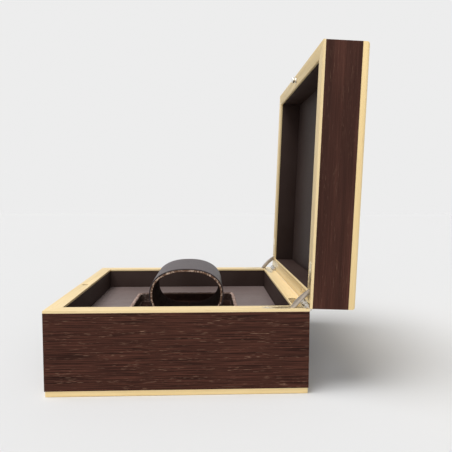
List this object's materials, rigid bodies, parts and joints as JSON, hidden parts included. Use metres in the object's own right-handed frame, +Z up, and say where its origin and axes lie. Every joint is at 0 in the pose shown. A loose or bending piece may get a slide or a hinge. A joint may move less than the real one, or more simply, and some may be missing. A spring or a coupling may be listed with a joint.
{
  "type": "watch_box",
  "caption": "Square wooden watch box with dark grained walls, pale edging, a hinged lid on quadrant hinges and a loose watch cuff in a soft-lined well",
  "frame": {"origin": "middle of the underside of the bottom plate, on the table", "axes": "+Z up, -Y to the front where the catch is, +Y to the back where the hinges are, +X to the right seen from the front"},
  "size_m": [0.19, 0.2299, 0.2527],
  "materials": {
    "wenge": "satin",
    "maple_edging": "satin",
    "maple_board": "satin",
    "lining_leatherette": "satin",
    "panel_leatherette": "satin",
    "tray_satin": "satin",
    "well_suede": "matte",
    "hidden_board": "matte",
    "support_card": "matte",
    "hinge_brass": "satin",
    "hinge_steel": "satin",
    "screw_nickel": "polished",
    "catch_nickel": "polished",
    "magnet_steel": "satin",
    "cuff_leatherette": "satin",
    "cuff_plastic": "matte",
    "cuff_suede": "matte"
  },
  "bodies": {
    "base": {"base_hinge_screws": "screw_nickel", "base_lining_back": "lining_leatherette", "base_lining_front": "lining_leatherette", "base_lining_left": "lining_leatherette", "base_lining_right": "lining_leatherette", "base_rim_back": "maple_edging", "base_rim_front": "maple_edging", "base_rim_left": "maple_edging", "base_rim_right": "maple_edging", "base_wall_back": "wenge", "base_wall_front": "wenge", "base_wall_left": "wenge", "base_wall_right": "wenge", "bottom_plate": "maple_board", "catch_ferrule": "catch_nickel", "catch_magnet": "magnet_steel", "hinge_base_leaf_left": "hinge_brass", "hinge_base_leaf_right": "hinge_brass", "hinge_pin_left": "hinge_steel", "hinge_pin_right": "hinge_steel", "tray_panel": "tray_satin", "tray_riser_back": "hidden_board", "tray_riser_front": "hidden_board", "tray_riser_left": "hidden_board", "tray_riser_right": "hidden_board", "well_support_block": "support_card", "well_tub": "well_suede"},
    "lid": {"catch_stud": "catch_nickel", "hinge_lid_leaf_left": "hinge_brass", "hinge_lid_leaf_right": "hinge_brass", "lid_hinge_screws": "screw_nickel", "lid_lining_back": "lining_leatherette", "lid_lining_front": "lining_leatherette", "lid_lining_left": "lining_leatherette", "lid_lining_right": "lining_leatherette", "lid_panel": "panel_leatherette", "lid_panel_spacer": "hidden_board", "lid_rim_back": "maple_edging", "lid_rim_front": "maple_edging", "lid_rim_left": "maple_edging", "lid_rim_right": "maple_edging", "lid_top_plate": "maple_board", "lid_wall_back": "wenge", "lid_wall_front": "wenge", "lid_wall_left": "wenge", "lid_wall_right": "wenge"},
    "strut_right": {"quadrant_strut_right": "hinge_steel"},
    "strut_left": {"quadrant_strut_left": "hinge_steel"},
    "watch_cuff": {"cuff_core": "cuff_plastic", "cuff_cover": "cuff_leatherette", "cuff_liner": "cuff_suede"}
  },
  "joints": [
    {"name": "lid_hinge", "type": "hinge", "parent": "base", "child": "lid", "pos_m": [0, 0.095, 0.0628], "axis": [-1, 0, 0], "range_deg": [-92, 0]},
    {"name": "strut_right_swing", "type": "hinge", "parent": "base", "child": "strut_right", "pos_m": [0, 0.095, 0.0628], "axis": [-1, 0, 0], "range_deg": [-46, 0]},
    {"name": "strut_left_swing", "type": "hinge", "parent": "base", "child": "strut_left", "pos_m": [0, 0.095, 0.0628], "axis": [-1, 0, 0], "range_deg": [-46, 0]},
    {"name": "cuff_lift", "type": "slide", "parent": "base", "child": "watch_cuff", "axis": [0, 0, 1], "range_m": [0, 0.08]}
  ],
  "couplings": [
    {"joint": "strut_right_swing", "follows": "lid_hinge", "ratio": 0.5},
    {"joint": "strut_left_swing", "follows": "lid_hinge", "ratio": 0.5}
  ]
}
